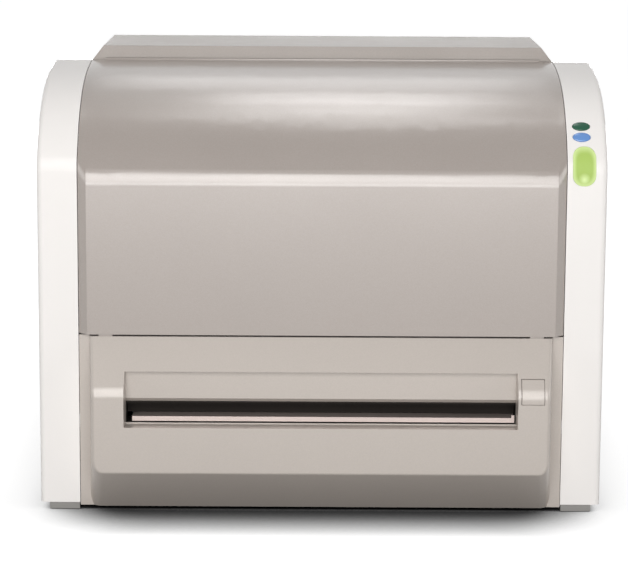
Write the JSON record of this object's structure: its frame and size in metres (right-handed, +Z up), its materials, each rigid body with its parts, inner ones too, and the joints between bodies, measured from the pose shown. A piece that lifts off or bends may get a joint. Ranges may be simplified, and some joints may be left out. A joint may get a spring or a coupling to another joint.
{
  "type": "computed radiography digitizer",
  "caption": "Tabletop X-ray plate digitizer with white side covers, a curved grey hood and a cassette slot whose release key frees the cassette.",
  "frame": {"origin": "on the floor below the middle of the machine's outline", "axes": "+X to the right seen from the front, the slot faces -Y, +Z up"},
  "size_m": [0.586, 0.7, 0.471],
  "materials": {
    "white_cover": "satin",
    "grey_cover": "satin metallic paint",
    "grey_rail": "matte",
    "black_plastic": "matte",
    "bristle": "matte",
    "bright_steel": "brushed",
    "sheet_steel": "satin",
    "rear_panel": "satin",
    "spring_steel": "polished",
    "black_rubber": "matte",
    "grey_rubber": "matte",
    "green_key": "gloss",
    "blue_key": "gloss",
    "green_window": "gloss",
    "circuit_board": "satin",
    "cast_aluminium": "satin",
    "motor_metal": "satin",
    "clear_guide": "gloss",
    "mirror_glass": "polished",
    "guide_plastic": "matte"
  },
  "bodies": {
    "housing": {"left_side_cover": "white_cover", "right_side_cover": "white_cover", "front_hood": "grey_cover", "top_cover": "grey_cover", "lower_front_cover": "grey_cover", "rear_cover": "rear_panel", "rear_cover_screws": "bright_steel", "slot_liner": "black_plastic", "slot_brush": "bristle", "cassette_tray_lip": "bright_steel", "cassette_table": "sheet_steel", "cassette_guides": "guide_plastic", "status_light": "green_window", "indicator_board": "circuit_board", "rubber_feet": "black_rubber", "base_plate": "sheet_steel", "base_rails": "grey_rail", "left_side_frame": "sheet_steel", "right_side_frame": "sheet_steel", "cross_members": "sheet_steel", "guide_rods": "bright_steel", "carriage_motor": "motor_metal", "roller_bearings": "bright_steel", "transport_belt": "black_rubber", "transport_motor": "motor_metal", "scan_platen": "sheet_steel", "light_collector": "clear_guide", "photomultiplier": "motor_metal", "optics_bed": "cast_aluminium", "folding_mirror": "mirror_glass", "polygon_motor": "motor_metal", "laser_module": "cast_aluminium", "erase_lamp": "cast_aluminium", "plate_chute": "sheet_steel", "power_supply": "sheet_steel", "main_board": "circuit_board", "mains_inlet": "black_plastic", "switch_frame": "black_plastic", "network_sockets": "guide_plastic", "fan_housing": "black_plastic"},
    "release_key": {"release_button": "grey_cover", "release_spring": "spring_steel"},
    "cassette_lock": {"lock_lever": "guide_plastic"},
    "upper_key": {"upper_oval_button": "green_key"},
    "lower_key": {"lower_oval_button": "blue_key"},
    "flap": {"slot_flap": "black_plastic"},
    "carriage": {"pickup_carriage": "cast_aluminium", "suction_cups": "grey_rubber"},
    "screw": {"lead_screw": "bright_steel"},
    "front_drive_roller": {"front_drive_shaft": "bright_steel", "front_drive_sleeve": "grey_rubber"},
    "rear_drive_roller": {"rear_drive_shaft": "bright_steel", "rear_drive_sleeve": "grey_rubber"},
    "front_pinch": {"front_pinch_roller": "grey_rubber"},
    "rear_pinch": {"rear_pinch_roller": "grey_rubber"},
    "pulley": {"motor_pulley": "cast_aluminium"},
    "mirror_wheel": {"polygon_mirror": "mirror_glass"},
    "power_rocker": {"switch_rocker": "black_plastic"},
    "fan": {"fan_rotor": "black_plastic"}
  },
  "joints": [
    {"name": "release_key_press", "type": "slide", "parent": "housing", "child": "release_key", "axis": [0, 1, 0], "range_m": [0, 0.003], "stiffness_N_per_m": 700, "springref_m": -0.002},
    {"name": "cassette_lock_turn", "type": "hinge", "parent": "housing", "child": "cassette_lock", "pos_m": [0.2085, -0.2668, 0.106], "axis": [0, 0, 1], "range_deg": [0, 21]},
    {"name": "upper_key_press", "type": "slide", "parent": "housing", "child": "upper_key", "axis": [0, 0.7193, -0.6947], "range_m": [0, 0.001], "stiffness_N_per_m": 1500, "springref_m": -0.0005},
    {"name": "lower_key_press", "type": "slide", "parent": "housing", "child": "lower_key", "axis": [0, 0.7838, -0.621], "range_m": [0, 0.001], "stiffness_N_per_m": 1500, "springref_m": -0.0005},
    {"name": "flap_swing", "type": "hinge", "parent": "housing", "child": "flap", "pos_m": [0, -0.3103, 0.1189], "axis": [1, 0, 0], "range_deg": [0, 80], "stiffness_Nm_per_rad": 0.004, "springref_deg": -20.05},
    {"name": "carriage_travel", "type": "slide", "parent": "housing", "child": "carriage", "axis": [0, -1, 0], "range_m": [0, 0.34]},
    {"name": "screw_spin", "type": "hinge", "parent": "housing", "child": "screw", "pos_m": [-0.188, -0.2548, 0.196], "axis": [0, 1, 0], "continuous": true},
    {"name": "front_drive_spin", "type": "hinge", "parent": "housing", "child": "front_drive_roller", "pos_m": [0, 0.1852, 0.105], "axis": [1, 0, 0], "continuous": true},
    {"name": "rear_drive_spin", "type": "hinge", "parent": "housing", "child": "rear_drive_roller", "pos_m": [0, 0.2452, 0.105], "axis": [1, 0, 0], "continuous": true},
    {"name": "front_pinch_spin", "type": "hinge", "parent": "housing", "child": "front_pinch", "pos_m": [0, 0.1852, 0.13], "axis": [1, 0, 0], "continuous": true},
    {"name": "rear_pinch_spin", "type": "hinge", "parent": "housing", "child": "rear_pinch", "pos_m": [0, 0.2452, 0.13], "axis": [1, 0, 0], "continuous": true},
    {"name": "pulley_spin", "type": "hinge", "parent": "housing", "child": "pulley", "pos_m": [-0.227, 0.2152, 0.066], "axis": [1, 0, 0], "continuous": true},
    {"name": "mirror_wheel_spin", "type": "hinge", "parent": "housing", "child": "mirror_wheel", "pos_m": [0, 0.0132, 0.273], "axis": [0, 0, 1], "continuous": true},
    {"name": "power_rocker_tilt", "type": "hinge", "parent": "housing", "child": "power_rocker", "pos_m": [-0.128, 0.3435, 0.062], "axis": [1, 0, 0], "range_deg": [0, 16]},
    {"name": "fan_spin", "type": "hinge", "parent": "housing", "child": "fan", "pos_m": [0.112, 0.3315, 0.072], "axis": [0, 1, 0], "continuous": true}
  ],
  "couplings": [
    {"joint": "cassette_lock_turn", "follows": "release_key_press", "rad_per_m": 122.16},
    {"joint": "screw_spin", "follows": "carriage_travel", "rad_per_m": 314.16},
    {"joint": "rear_drive_spin", "follows": "front_drive_spin", "ratio": 1},
    {"joint": "front_pinch_spin", "follows": "front_drive_spin", "ratio": -1},
    {"joint": "rear_pinch_spin", "follows": "front_drive_spin", "ratio": -1},
    {"joint": "pulley_spin", "follows": "front_drive_spin", "ratio": 1}
  ]
}
